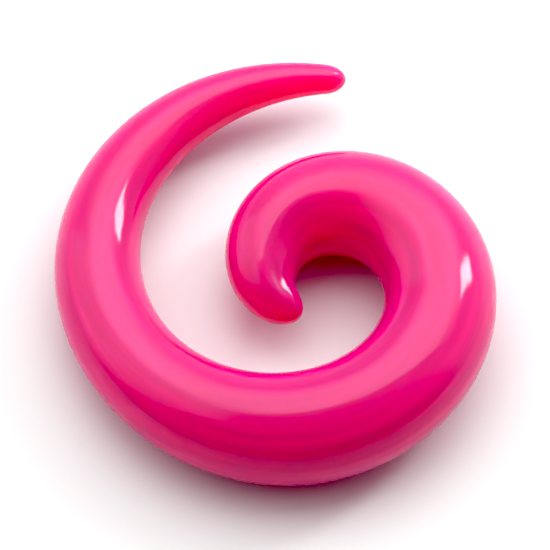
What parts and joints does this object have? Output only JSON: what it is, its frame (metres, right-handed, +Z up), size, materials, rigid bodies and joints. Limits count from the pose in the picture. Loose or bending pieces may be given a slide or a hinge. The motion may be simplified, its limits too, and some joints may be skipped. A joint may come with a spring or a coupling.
{
  "type": "spiral ear taper",
  "caption": "Solid spiral ear taper: a round acrylic rod, bent into a flat coil, that swells from a small inner hook to the ear seat and thins to a slim outer tip.",
  "frame": {"origin": "centre of the bounding box on the surface that the piece lies on", "axes": "+Z up through the flat of the coil, +Y from the ear seat towards the outer tip's side, +X to the side that the outer tip points at"},
  "size_m": [0.047, 0.051, 0.0125],
  "materials": {
    "acrylic": "hot-pink acrylic, polished to a high gloss"
  },
  "bodies": {
    "root": {"spiral_taper": "acrylic"}
  },
  "joints": []
}
